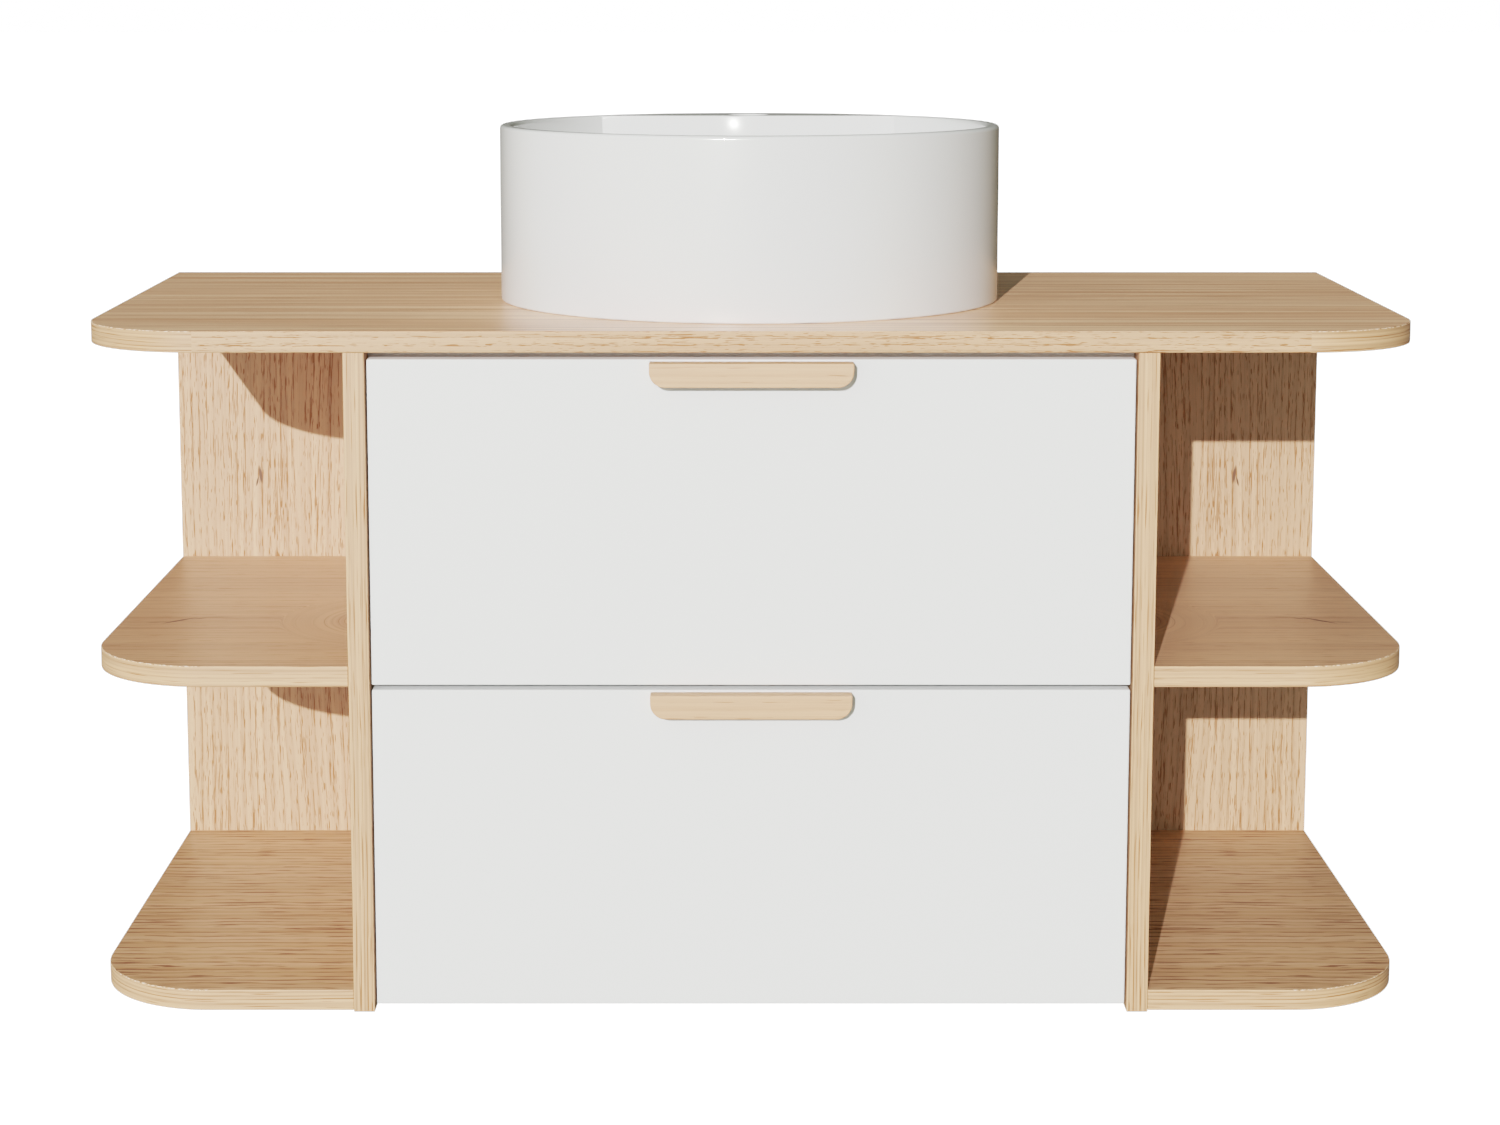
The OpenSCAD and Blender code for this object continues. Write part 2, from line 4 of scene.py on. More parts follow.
import bmesh
import bpy
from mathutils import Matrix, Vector

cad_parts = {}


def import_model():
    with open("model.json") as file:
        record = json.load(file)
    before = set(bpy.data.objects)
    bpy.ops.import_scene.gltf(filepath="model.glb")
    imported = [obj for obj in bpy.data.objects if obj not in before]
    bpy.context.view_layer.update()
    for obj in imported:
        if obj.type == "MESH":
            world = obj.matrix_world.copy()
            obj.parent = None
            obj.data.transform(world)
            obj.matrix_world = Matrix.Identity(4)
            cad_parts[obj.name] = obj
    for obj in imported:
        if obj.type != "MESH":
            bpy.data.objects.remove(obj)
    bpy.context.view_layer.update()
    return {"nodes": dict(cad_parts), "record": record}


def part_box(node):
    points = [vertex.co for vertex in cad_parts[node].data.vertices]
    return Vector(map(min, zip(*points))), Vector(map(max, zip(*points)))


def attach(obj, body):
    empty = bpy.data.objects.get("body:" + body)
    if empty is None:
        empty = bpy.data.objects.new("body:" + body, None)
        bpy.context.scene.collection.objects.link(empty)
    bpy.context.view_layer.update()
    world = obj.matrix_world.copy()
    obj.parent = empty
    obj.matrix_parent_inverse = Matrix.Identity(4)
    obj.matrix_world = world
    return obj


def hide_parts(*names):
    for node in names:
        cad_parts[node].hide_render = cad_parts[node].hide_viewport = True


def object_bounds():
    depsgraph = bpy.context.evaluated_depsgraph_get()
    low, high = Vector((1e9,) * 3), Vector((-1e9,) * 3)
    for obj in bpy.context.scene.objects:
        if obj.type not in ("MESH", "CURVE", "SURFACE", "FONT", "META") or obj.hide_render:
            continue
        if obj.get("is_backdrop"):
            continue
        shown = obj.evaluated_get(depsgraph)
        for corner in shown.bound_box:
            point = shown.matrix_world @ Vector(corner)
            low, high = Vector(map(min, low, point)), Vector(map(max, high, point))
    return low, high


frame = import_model()
ROW = frame["record"]
BODY_OF = {n: body for body, nodes in ROW["behaviour"]["bodies"].items() for n in nodes}
SLOT_OF = {row["node"]: row["material_slot"] for row in ROW["subparts"]}

# Sizes in metres that a node's box doesn't give.
CORNER_R = 0.090
EDGE_R = 0.0007
HANDLE_R = 0.012
GRIP = (0.120, 0.0065, 0.011)
BASIN_R = 0.200
BASIN_WALL = 0.010
BOWL_FLOOR = 0.028
FOOT = 0.018
BOSS_R = 0.045
DRAIN_R = 0.0225
SEAL = 0.0008
DECK_CHORD = 0.144
DECK_WALL = 0.009
DECK_THICK = 0.012
TAP_R = 0.016
TAP_FROM_CHORD = 0.024
WASTE_HOLE_R = 0.025
HOSE_HOLE_R = 0.017
HOSE_FROM_CENTRE = 0.172

# The radiance that the tone curve shows as pure white.
WHITE = 3.4


# ---- Node trees ----

def add(tree, kind, inputs=(), **settings):
    """Adds a shader node; inputs are (socket, value or output socket) pairs."""
    made = tree.nodes.new(kind)
    for key, value in settings.items():
        setattr(made, key, value)
    for key, value in dict(inputs).items():
        if isinstance(value, bpy.types.NodeSocket):
            tree.links.new(value, made.inputs[key])
        else:
            made.inputs[key].default_value = value
    return made


def maths(tree, operation, a, b=0.0, clamp=False):
    return add(tree, "ShaderNodeMath", {0: a, 1: b}, operation=operation, use_clamp=clamp).outputs[0]


def ramp(tree, value, stops, smooth=False):
    """A colour ramp over (position, colour) stops; a number stands for a grey."""
    made = add(tree, "ShaderNodeValToRGB", {"Fac": value})
    made.color_ramp.interpolation = "EASE" if smooth else "LINEAR"
    elements = made.color_ramp.elements
    while len(elements) < len(stops):
        elements.new(0.5)
    for element, (position, colour) in zip(elements, stops):
        element.position = position
        grey = not hasattr(colour, "__len__")
        element.color = (colour, colour, colour, 1) if grey else (*colour, 1)
    return made.outputs["Color"]


def blend_colour(tree, factor, a, b, mode="MIX"):
    made = add(tree, "ShaderNodeMix", data_type="RGBA", blend_type=mode)
    for index, value in ((0, factor), (6, a), (7, b)):
        if isinstance(value, bpy.types.NodeSocket):
            tree.links.new(value, made.inputs[index])
        else:
            made.inputs[index].default_value = value if index == 0 else (*value, 1)
    return made.outputs[2]


def noise(tree, vector, scale, detail=2.0, roughness=0.5):
    return add(tree, "ShaderNodeTexNoise",
               {"Vector": vector, "Scale": scale, "Detail": detail, "Roughness": roughness}).outputs["Fac"]


def stretched(tree, u, v, along, across, shift=0.0):
    """Coordinates for grain: cells 1/along metres long and 1/across metres wide."""
    return add(tree, "ShaderNodeCombineXYZ",
               {0: maths(tree, "MULTIPLY", u, along), 1: maths(tree, "MULTIPLY", v, across),
                2: shift}).outputs[0]


def material(name):
    """A new material with its Principled shader, which starts from Blender's defaults."""
    made = bpy.data.materials.new(name)
    made.use_nodes = True
    return made, made.node_tree, made.node_tree.nodes["Principled BSDF"]


def bump(tree, shader, height, strength, distance):
    made = add(tree, "ShaderNodeBump", {"Height": height, "Strength": strength, "Distance": distance})
    tree.links.new(made.outputs[0], shader.inputs["Normal"])


def srgb(r, g, b):
    """A colour given on the usual 0 to 255 scale, as linear values."""
    return tuple((c / 255 / 12.92) if c <= 10 else ((c / 255 + 0.055) / 1.055) ** 2.4 for c in (r, g, b))


# ---- Oak ----

def ellipse_mask(tree, u, v, centre, half, tilt):
    """1 inside a long thin tapered mark, fading to 0 at its outline."""
    du = maths(tree, "SUBTRACT", u, centre[0])
    dv = maths(tree, "SUBTRACT", v, centre[1])
    along = maths(tree, "ADD", maths(tree, "MULTIPLY", du, math.cos(tilt)),
                  maths(tree, "MULTIPLY", dv, math.sin(tilt)))
    across = maths(tree, "SUBTRACT", maths(tree, "MULTIPLY", dv, math.cos(tilt)),
                   maths(tree, "MULTIPLY", du, math.sin(tilt)))
    along, across = maths(tree, "DIVIDE", along, half[0]), maths(tree, "DIVIDE", across, half[1])
    far = maths(tree, "ADD", maths(tree, "POWER", maths(tree, "ABSOLUTE", along), 2.0),
                maths(tree, "POWER", maths(tree, "ABSOLUTE", across), 2.0))
    return maths(tree, "SUBTRACT", 1.0, far, clamp=True)


def oak(name, light, mid, pore, bend=(0.004, 2.5, 9.0), rings=130.0, jitter=0.5, dash=(70.0, 1000.0),
        cover=0.5, bands=60.0, contrast=1.0, ringing=1.0, arches=(), marks=(), roughness=0.42, seed=0.0):
    """Oak veneer. Grain runs along the U of the "grain" map, in metres.

    light and mid are the two woods of the growth bands and pore is the colour of the open pores. bend is
    how far the grain wanders, and its cells per metre along and across. rings is growth rings per metre,
    jitter how uneven they are and ringing how plainly they show. dash is the pores' cells per metre and
    cover how much they cover. arches are the centres of cathedral figures as (place, stretch, reach), and
    marks are the cracks and knots as (centre, half size, tilt)."""
    made, tree, shader = material(name)
    split = add(tree, "ShaderNodeSeparateXYZ", {0: add(tree, "ShaderNodeUVMap", uv_map="grain").outputs[0]})
    u, v = split.outputs[0], split.outputs[1]
    far, along, across = bend
    drift = noise(tree, stretched(tree, u, v, along, across, shift=seed), 1.0, detail=2.0)
    w = maths(tree, "ADD", v, maths(tree, "MULTIPLY", maths(tree, "SUBTRACT", drift, 0.5), 2 * far))
    for place, stretch, reach in arches:
        du = maths(tree, "DIVIDE", maths(tree, "SUBTRACT", u, place[0]), stretch)
        dv = maths(tree, "SUBTRACT", w, place[1])
        square = maths(tree, "ADD", maths(tree, "POWER", maths(tree, "ABSOLUTE", du), 2.0),
                       maths(tree, "POWER", maths(tree, "ABSOLUTE", dv), 2.0))
        radius = maths(tree, "SQRT", square)
        near = maths(tree, "SUBTRACT", 1.0, maths(tree, "DIVIDE", radius, reach), clamp=True)
        near = ramp(tree, near, [(0.0, 0.0), (0.35, 1.0)], smooth=True)
        w = maths(tree, "ADD", maths(tree, "MULTIPLY", w, maths(tree, "SUBTRACT", 1.0, near)),
                  maths(tree, "MULTIPLY", radius, near))
    uneven = noise(tree, stretched(tree, u, w, 1.5, rings * 0.35, shift=seed + 1.7), 1.0, detail=2.0)
    phase = maths(tree, "FRACT", maths(tree, "ADD", maths(tree, "MULTIPLY", w, rings),
                                       maths(tree, "MULTIPLY", uneven, 2 * jitter)))
    early = ramp(tree, phase, [(0.0, 0.45), (0.06, 1.0), (0.35, 0.55), (0.6, 0.12), (1.0, 0.08)])
    growth = noise(tree, stretched(tree, u, w, 1.4, bands, shift=seed + 3.1), 1.0, detail=4.0, roughness=0.6)
    ringed = maths(tree, "MULTIPLY", maths(tree, "SUBTRACT", early, 0.4), 0.18 * ringing)
    shade = maths(tree, "ADD", growth, ringed)
    tone = ramp(tree, shade, [(0.5 - 0.2 / contrast, light), (0.5 + 0.2 / contrast, mid)])
    fibre = noise(tree, stretched(tree, u, w, 25.0, 2200.0, shift=seed + 5.7), 1.0, detail=3.0, roughness=0.6)
    tone = blend_colour(tree, 1.0, tone, ramp(tree, fibre, [(0.25, 0.88), (0.75, 1.10)]), mode="MULTIPLY")
    broad = noise(tree, stretched(tree, u, v, 2.2, 14.0, shift=seed + 9.3), 1.0, detail=2.0)
    tone = blend_colour(tree, 1.0, tone, ramp(tree, broad, [(0.3, 0.94), (0.7, 1.05)]), mode="MULTIPLY")
    cells = noise(tree, stretched(tree, u, w, *dash, shift=seed + 12.9), 1.0, detail=1.0, roughness=0.4)
    longer = stretched(tree, u, w, dash[0] * 0.35, dash[1] * 0.8, shift=seed + 15.2)
    long_cells = noise(tree, longer, 1.0, detail=1.0)
    patch = noise(tree, stretched(tree, u, v, 5.0, 40.0, shift=seed + 18.4), 1.0, detail=1.0)
    density = maths(tree, "ADD", maths(tree, "MULTIPLY", early, 0.15 * ringing),
                    maths(tree, "MULTIPLY", patch, 0.16))
    strongest = maths(tree, "MAXIMUM", cells, maths(tree, "MULTIPLY", long_cells, 0.97))
    pick = maths(tree, "ADD", strongest, density)
    streak = ramp(tree, pick, [(0.885 - 0.16 * cover, 0.0), (0.935 - 0.16 * cover, 1.0)])
    tone = blend_colour(tree, maths(tree, "MULTIPLY", streak, 0.92), tone, pore)
    scar = None
    for centre, half, tilt in marks:
        mark = ellipse_mask(tree, u, v, centre, half, tilt)
        scar = mark if scar is None else maths(tree, "MAXIMUM", scar, mark)
    if scar is not None:
        crack = tuple(0.4 * c for c in pore)
        tone = blend_colour(tree, maths(tree, "MULTIPLY", scar, 1.4, clamp=True), tone, crack)
    tree.links.new(tone, shader.inputs["Base Color"])
    rough = maths(tree, "ADD", roughness, maths(tree, "MULTIPLY", streak, 0.18))
    rough = maths(tree, "ADD", rough, maths(tree, "MULTIPLY", fibre, 0.06))
    tree.links.new(rough, shader.inputs["Roughness"])
    relief = maths(tree, "SUBTRACT", maths(tree, "MULTIPLY", fibre, 0.25), streak)
    bump(tree, shader, relief, 0.35, 0.00012)
    return made


LIGHT, MID, PORE = srgb(206, 160, 121), srgb(176, 131, 95), srgb(136, 78, 32)
TAN_LIGHT, TAN_MID, TAN_PORE = srgb(214, 165, 126), srgb(176, 127, 94), srgb(126, 72, 34)
OAK = {
    # The worktop's veneer colours are paler than the rest of the oak: painted light, standing in for the sun
    # on its top face. The underside shares them.
    "top": oak("oak_top_painted_light", srgb(255, 205, 164), srgb(212, 151, 112), TAN_PORE, bend=(0.003, 2, 9), rings=110,
               jitter=0.9, dash=(9, 700), cover=0.38, bands=110, contrast=2.0, roughness=0.30, seed=1.0),
    "fleck": oak("oak_edge_fleck", srgb(204, 157, 116), srgb(178, 134, 95), PORE, bend=(0.001, 3, 9),
                 rings=200, jitter=0.6, dash=(120, 1400), cover=0.70, bands=160, contrast=0.8,
                 roughness=0.45, seed=2.0),
    "streak": oak("oak_edge_streak", srgb(210, 163, 120), srgb(166, 122, 86), PORE, bend=(0.0015, 5, 30),
                  rings=330, jitter=0.5, dash=(24, 1300), cover=0.62, bands=330, contrast=1.0,
                  roughness=0.45, seed=3.0),
    "panel": oak("oak_panel", LIGHT, MID, PORE, bend=(0.012, 2.6, 8), rings=150, jitter=1.3, dash=(85, 1150),
                 cover=0.88, bands=150, contrast=0.9, ringing=0.9, seed=4.0,
                 marks=(((-0.110, 0.4135), (0.009, 0.0016), 0.12),
                        ((-0.116, 0.4165), (0.005, 0.0010), -0.25))),
    "mid": oak("oak_mid_shelf", TAN_LIGHT, TAN_MID, TAN_PORE, bend=(0.004, 3, 10), rings=160, jitter=0.5,
               dash=(40, 1200), cover=0.30, bands=130, contrast=0.8, roughness=0.38, seed=5.0,
               arches=(((0.285, -0.473), 0.9, 0.10),),
               marks=(((0.454, -0.4755), (0.019, 0.0022), -0.785), ((0.440, -0.468), (0.008, 0.0014), -0.5),
                      ((0.426, -0.462), (0.014, 0.0008), 0.0), ((0.470, -0.482), (0.010, 0.0010), -0.2))),
    "low": oak("oak_bottom_shelf", TAN_LIGHT, srgb(186, 136, 92), srgb(120, 70, 34), bend=(0.008, 6, 18),
               rings=110, jitter=0.7, dash=(32, 620), cover=0.72, bands=100, contrast=1.2,
               roughness=0.42, seed=6.0),
    "handle": oak("oak_handle", srgb(204, 158, 119), srgb(186, 139, 100), PORE, bend=(0.001, 3, 9), rings=180,
                  dash=(40, 1500), cover=0.1, bands=150, contrast=0.7, roughness=0.45, seed=7.0),
    "dowel": oak("beech_dowel", srgb(208, 160, 112), srgb(186, 138, 92), PORE, rings=300, cover=0.2,
                 bands=300, contrast=0.7, roughness=0.6, seed=8.0),
}


def arris_wear_and_highlight():
    """The trimmed upper edge of the banding round a curve: wood with small chipped spots, and a pale tone
    that is partly a glue line and partly a painted highlight where the light catches the rounding.
    """
    made, tree, shader = material("oak_arris_wear_and_highlight")
    place = add(tree, "ShaderNodeUVMap", uv_map="grain").outputs[0]
    split = add(tree, "ShaderNodeSeparateXYZ", {0: place})
    chips_and_highlight = noise(tree, stretched(tree, split.outputs[0], split.outputs[1], 330.0, 60.0), 1.0, detail=3.0)
    # The palest stop is partly a glue line and partly a painted highlight along the rounding.
    tone = ramp(tree, chips_and_highlight, [(0.42, srgb(232, 204, 176)), (0.50, srgb(204, 158, 118)),
                              (0.62, srgb(140, 92, 56))])
    tree.links.new(tone, shader.inputs["Base Color"])
    tree.links.new(maths(tree, "ADD", 0.45, maths(tree, "MULTIPLY", chips_and_highlight, 0.3)), shader.inputs["Roughness"])
    bump(tree, shader, chips_and_highlight, 0.6, 0.0002)
    return made


ARRIS_WEAR_AND_HIGHLIGHT = arris_wear_and_highlight()


# ---- Other materials ----

def position(tree):
    """Where a point is on its piece, in metres."""
    return add(tree, "ShaderNodeTexCoord").outputs["Object"]


def lacquer(name, colour, roughness, variation):
    """Sprayed paint: a faint orange-peel bump and slightly uneven gloss."""
    made, tree, shader = material(name)
    place = position(tree)
    cloud = noise(tree, place, 9.0, detail=2.0)
    low = tuple(c * (1 - variation) for c in colour)
    tree.links.new(ramp(tree, cloud, [(0.3, low), (0.7, colour)]), shader.inputs["Base Color"])
    peel = noise(tree, place, 2600.0, detail=2.0)
    uneven = noise(tree, place, 60.0, detail=3.0)
    rough = maths(tree, "ADD", roughness - 0.03, maths(tree, "MULTIPLY", uneven, 0.06))
    tree.links.new(rough, shader.inputs["Roughness"])
    bump(tree, shader, peel, 0.25, 0.00002)
    return made


def melamine(name, colour):
    """White chipboard foil with the fine pressed texture of furniture board."""
    made, tree, shader = material(name)
    place = position(tree)
    pearl = add(tree, "ShaderNodeTexVoronoi", {"Vector": place, "Scale": 1400.0}).outputs["Distance"]
    cloud = noise(tree, place, 14.0, detail=3.0)
    low = tuple(c * 0.96 for c in colour)
    tree.links.new(ramp(tree, cloud, [(0.3, low), (0.7, colour)]), shader.inputs["Base Color"])
    tree.links.new(maths(tree, "ADD", 0.4, maths(tree, "MULTIPLY", pearl, 0.12)), shader.inputs["Roughness"])
    bump(tree, shader, pearl, 0.3, 0.00003)
    return made


def glaze(name):
    """White sanitary glaze: a smooth clear coat with very slight waves over a soft white body."""
    made, tree, shader = material(name)
    place = position(tree)
    cloud = noise(tree, place, 7.0, detail=2.0)
    tree.links.new(ramp(tree, cloud, [(0.3, (0.71, 0.71, 0.708)), (0.7, (0.725, 0.725, 0.722))]),
                   shader.inputs["Base Color"])
    pin = noise(tree, place, 900.0, detail=1.0)
    tree.links.new(maths(tree, "ADD", 0.20, maths(tree, "MULTIPLY", pin, 0.06)), shader.inputs["Roughness"])
    shader.inputs["Coat Weight"].default_value = 0.5
    shader.inputs["Coat Roughness"].default_value = 0.06
    wave = noise(tree, place, 22.0, detail=1.0)
    bump(tree, shader, wave, 0.05, 0.0004)
    return made


def metal(name, colour, roughness, brushed=False, spangle=0.0):
    """Metal with fine scratches; brushed draws them out along Y, spangle mottles zinc."""
    made, tree, shader = material(name)
    place = position(tree)
    stretch = (900, 18, 900) if brushed else (400, 400, 400)
    drawn_out = add(tree, "ShaderNodeMapping", {"Vector": place, "Scale": stretch}).outputs[0]
    lines = noise(tree, drawn_out, 1.0, detail=3.0)
    crystals = add(tree, "ShaderNodeTexVoronoi", {"Vector": place, "Scale": 160.0}).outputs["Color"]
    crystal = add(tree, "ShaderNodeSeparateColor", {0: crystals}).outputs[0]
    low = tuple(c * (1 - 0.06 - spangle) for c in colour)
    mixed = maths(tree, "ADD", maths(tree, "MULTIPLY", lines, 1 - spangle),
                  maths(tree, "MULTIPLY", crystal, spangle))
    tree.links.new(ramp(tree, mixed, [(0.3, low), (0.7, colour)]), shader.inputs["Base Color"])
    shader.inputs["Metallic"].default_value = 1.0
    rough = maths(tree, "ADD", roughness, maths(tree, "MULTIPLY", lines, 0.10))
    tree.links.new(rough, shader.inputs["Roughness"])
    bump(tree, shader, lines, 0.12, 0.00003)
    return made


def dull(name, colour, roughness):
    """Moulded plastic or rubber with a fine spark-eroded texture."""
    made, tree, shader = material(name)
    place = position(tree)
    speck = noise(tree, place, 900.0, detail=3.0)
    low = tuple(c * 0.9 for c in colour)
    tree.links.new(ramp(tree, speck, [(0.3, low), (0.7, colour)]), shader.inputs["Base Color"])
    rough = maths(tree, "ADD", roughness, maths(tree, "MULTIPLY", speck, 0.1))
    tree.links.new(rough, shader.inputs["Roughness"])
    bump(tree, shader, speck, 0.3, 0.00004)
    return made


FINISH = {
    "front_lacquer": lacquer("front_lacquer", (0.745, 0.745, 0.745), 0.55, variation=0.004),
    "white_board": melamine("white_board", (0.80, 0.80, 0.80)),
    "drawer_board": melamine("drawer_board", (0.66, 0.66, 0.655)),
    "glaze": glaze("glaze"),
    "rubber": dull("rubber", (0.03, 0.03, 0.03), 0.6),
    "dowel_wood": OAK["dowel"],
    "hanger_plastic": dull("hanger_plastic", (0.62, 0.62, 0.60), 0.42),
    "galvanised_steel": metal("galvanised_steel", (0.62, 0.64, 0.66), 0.32, brushed=True, spangle=0.12),
    "screw_steel": metal("screw_steel", (0.50, 0.50, 0.50), 0.35),
    "chrome": metal("chrome", (0.80, 0.81, 0.82), 0.05),
}


# ---- Mesh helpers ----

def filleted(corners, steps=10):
    """A closed outline from (a, b, radius) corners, with each corner rounded to its radius."""
    points = []
    for i, (a, b, radius) in enumerate(corners):
        here = Vector((a, b))
        if radius <= 0:
            points.append(here)
            continue
        to_last = (Vector(corners[i - 1][:2]) - here).normalized()
        to_next = (Vector(corners[(i + 1) % len(corners)][:2]) - here).normalized()
        half = to_last.angle(to_next) / 2
        centre = here + (to_last + to_next).normalized() * radius / math.sin(half)
        start = here + to_last * radius / math.tan(half)
        end = here + to_next * radius / math.tan(half)
        turn = (start - centre).angle_signed(end - centre)
        for k in range(steps + 1):
            arm = start - centre
            angle = -turn * k / steps
            points.append(centre + Vector((arm.x * math.cos(angle) - arm.y * math.sin(angle),
                                           arm.x * math.sin(angle) + arm.y * math.cos(angle))))
    return points


def new_piece(name, vertices, faces):
    mesh = bpy.data.meshes.new(name)
    mesh.from_pydata([tuple(p) for p in vertices], [], faces)
    made = bmesh.new()
    made.from_mesh(mesh)
    bmesh.ops.remove_doubles(made, verts=made.verts, dist=1e-7)
    bmesh.ops.recalc_face_normals(made, faces=made.faces)
    made.to_mesh(mesh)
    made.free()
    piece = bpy.data.objects.new(name, mesh)
    bpy.context.collection.objects.link(piece)
    return piece


def extruded(name, outline, place, low, high):
    """A prism: outline points (a, b) go to place(a, b, t), for t from low to high."""
    n = len(outline)
    vertices = [place(p[0], p[1], t) for t in (low, high) for p in outline]
    sides = [(i, (i + 1) % n, n + (i + 1) % n, n + i) for i in range(n)]
    return new_piece(name, vertices, [tuple(range(n)), tuple(range(n, 2 * n)), *sides])


FLAT = {"x": lambda a, b, t: (t, a, b), "y": lambda a, b, t: (a, t, b), "z": lambda a, b, t: (a, b, t)}


def applied(piece):
    """Replaces a piece's mesh with what its modifiers make of it."""
    graph = bpy.context.evaluated_depsgraph_get()
    mesh = bpy.data.meshes.new_from_object(piece.evaluated_get(graph))
    piece.modifiers.clear()
    piece.data = mesh
    return piece


def eased(piece, width=EDGE_R):
    """Rounds a piece's sharp edges and keeps its flat faces flat in shading."""
    edge = piece.modifiers.new("ease", "BEVEL")
    edge.width, edge.segments, edge.limit_method = width, 2, "ANGLE"
    edge.angle_limit, edge.use_clamp_overlap = math.radians(35), True
    for face in piece.data.polygons:
        face.use_smooth = True
    flat = piece.modifiers.new("flat", "WEIGHTED_NORMAL")
    flat.weight, flat.keep_sharp = 60, False
    return applied(piece)


def cut(piece, cutter):
    """Takes one closed piece out of another."""
    tool = piece.modifiers.new("cut", "BOOLEAN")
    tool.operation, tool.solver, tool.object = "DIFFERENCE", "EXACT", cutter
    applied(piece)
    bpy.data.objects.remove(cutter)
    return piece


def lathe(name, profile, centre, steps=128):
    """Turns a profile of (radius, height) points, from axis to axis, round the vertical through centre."""
    rows = []
    for k in range(steps):
        angle = 2 * math.pi * k / steps
        for radius, height in profile:
            rows.append(Vector((radius * math.cos(angle), radius * math.sin(angle), height)) + Vector(centre))
    n = len(profile)
    faces = [(k * n + i, k * n + i + 1, ((k + 1) % steps) * n + i + 1, ((k + 1) % steps) * n + i)
             for k in range(steps) for i in range(n - 1)]
    piece = new_piece(name, rows, faces)
    for face in piece.data.polygons:
        face.use_smooth = True
    piece.data.set_sharp_from_angle(angle=math.radians(40))
    return piece


def grain_map(piece, axis, fold=False, outline=None, shift=(0.0, 0.0)):
    """Writes the "grain" map: U runs along the grain and V across it, in metres.

    fold mirrors the pattern about x = 0; outline makes the grain of an edge follow that outline."""
    mesh = piece.data
    layer = mesh.uv_layers.get("grain") or mesh.uv_layers.new(name="grain")
    along = "xyz".index(axis)
    lengths = [0.0]
    if outline:
        ring = [Vector(p) for p in outline] + [Vector(outline[0])]
        for a, b in zip(ring, ring[1:]):
            lengths.append(lengths[-1] + (b - a).length)
    for face in mesh.polygons:
        on_edge = outline and abs(face.normal.z) < 0.5
        for index in face.loop_indices:
            spot = mesh.vertices[mesh.loops[index].vertex_index].co.copy()
            if fold:
                spot.x = abs(spot.x)
            if on_edge:
                u, v = arc_place(ring, lengths, mesh.vertices[mesh.loops[index].vertex_index].co), spot.z
            else:
                others = [spot[i] for i in range(3) if i != along]
                u, v = spot[along], others[0] + others[1]
            layer.data[index].uv = (u + shift[0], v + shift[1])
    return piece


def arc_place(ring, lengths, spot):
    """Distance along a ring of points to the place nearest to spot."""
    flat, best = Vector(spot[:2]), (1e9, 0.0)
    for (a, b), start in zip(zip(ring, ring[1:]), lengths):
        side = b - a
        t = min(1.0, max(0.0, (flat - a).dot(side) / side.length_squared)) if side.length else 0.0
        gap = (a + side * t - flat).length
        if gap < best[0]:
            best = (gap, start + side.length * t)
    return best[1]


def paint(piece, *materials, choose=None):
    piece.data.materials.clear()
    for made in materials:
        piece.data.materials.append(made)
    if choose:
        for face in piece.data.polygons:
            face.material_index = choose(face)
    return piece


def stand_for(piece, *nodes):
    """The piece rides with these CAD nodes' body and hides them."""
    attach(piece, BODY_OF[nodes[0]])
    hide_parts(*nodes)
    return piece


# ---- Worktop and shelves ----

def rounded_board(node, left, right, top, band, fold):
    """A horizontal board with rounded front corners, veneered above and below and banded all round."""
    low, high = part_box(node)
    x0, x1, y0, y1 = low.x, high.x, low.y, high.y
    outline = filleted([(x1, y1, 0), (x0, y1, 0), (x0, y0, CORNER_R if left else 0),
                        (x1, y0, CORNER_R if right else 0)], steps=30)
    piece = extruded(node + "_board", outline, FLAT["z"], low.z, high.z)
    if node == "worktop":
        basin_low, basin_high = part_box("basin")
        centre = (basin_low + basin_high) / 2
        for y, radius in ((centre.y, WASTE_HOLE_R), (centre.y + HOSE_FROM_CENTRE, HOSE_HOLE_R)):
            drill = [(0, -0.1), (radius, -0.1), (radius, 0.1), (0, 0.1)]
            cut(piece, lathe("drill", drill, (0, y, high.z)))
    eased(piece)
    grain_map(piece, "x", fold=fold, outline=outline)
    straight = (x0 + CORNER_R if left else x0, x1 - CORNER_R if right else x1)

    def choose(face):
        on_corner = face.center.x < straight[0] - 1e-4 or face.center.x > straight[1] + 1e-4
        # Up-facing bevel faces on the curved corners take the arris material, whose pale tone is partly a
        # painted highlight.
        if face.normal.z > 0.15 and face.normal.z < 0.98 and on_corner:
            return 3
        if abs(face.normal.z) > 0.9:
            return 0
        return 2 if on_corner else 1

    paint(piece, OAK[top], OAK[band], OAK["streak"], ARRIS_WEAR_AND_HIGHLIGHT, choose=choose)
    return stand_for(piece, node)


rounded_board("worktop", True, True, "top", "fleck", False)
for side in ("left", "right"):
    is_left = side == "left"
    rounded_board("mid_shelf_" + side, is_left, not is_left, "mid", "streak", True)
    rounded_board("bottom_shelf_" + side, is_left, not is_left, "low", "streak", True)


# ---- Square boards ----

def board(name, low, high, made, grain_axis="z", fold=False, ease=EDGE_R):
    """A rectangular board with eased edges."""
    outline = [(low.x, low.y), (high.x, low.y), (high.x, high.y), (low.x, high.y)]
    piece = eased(extruded(name, outline, FLAT["z"], low.z, high.z), width=ease)
    grain_map(piece, grain_axis, fold=fold)
    return paint(piece, made)


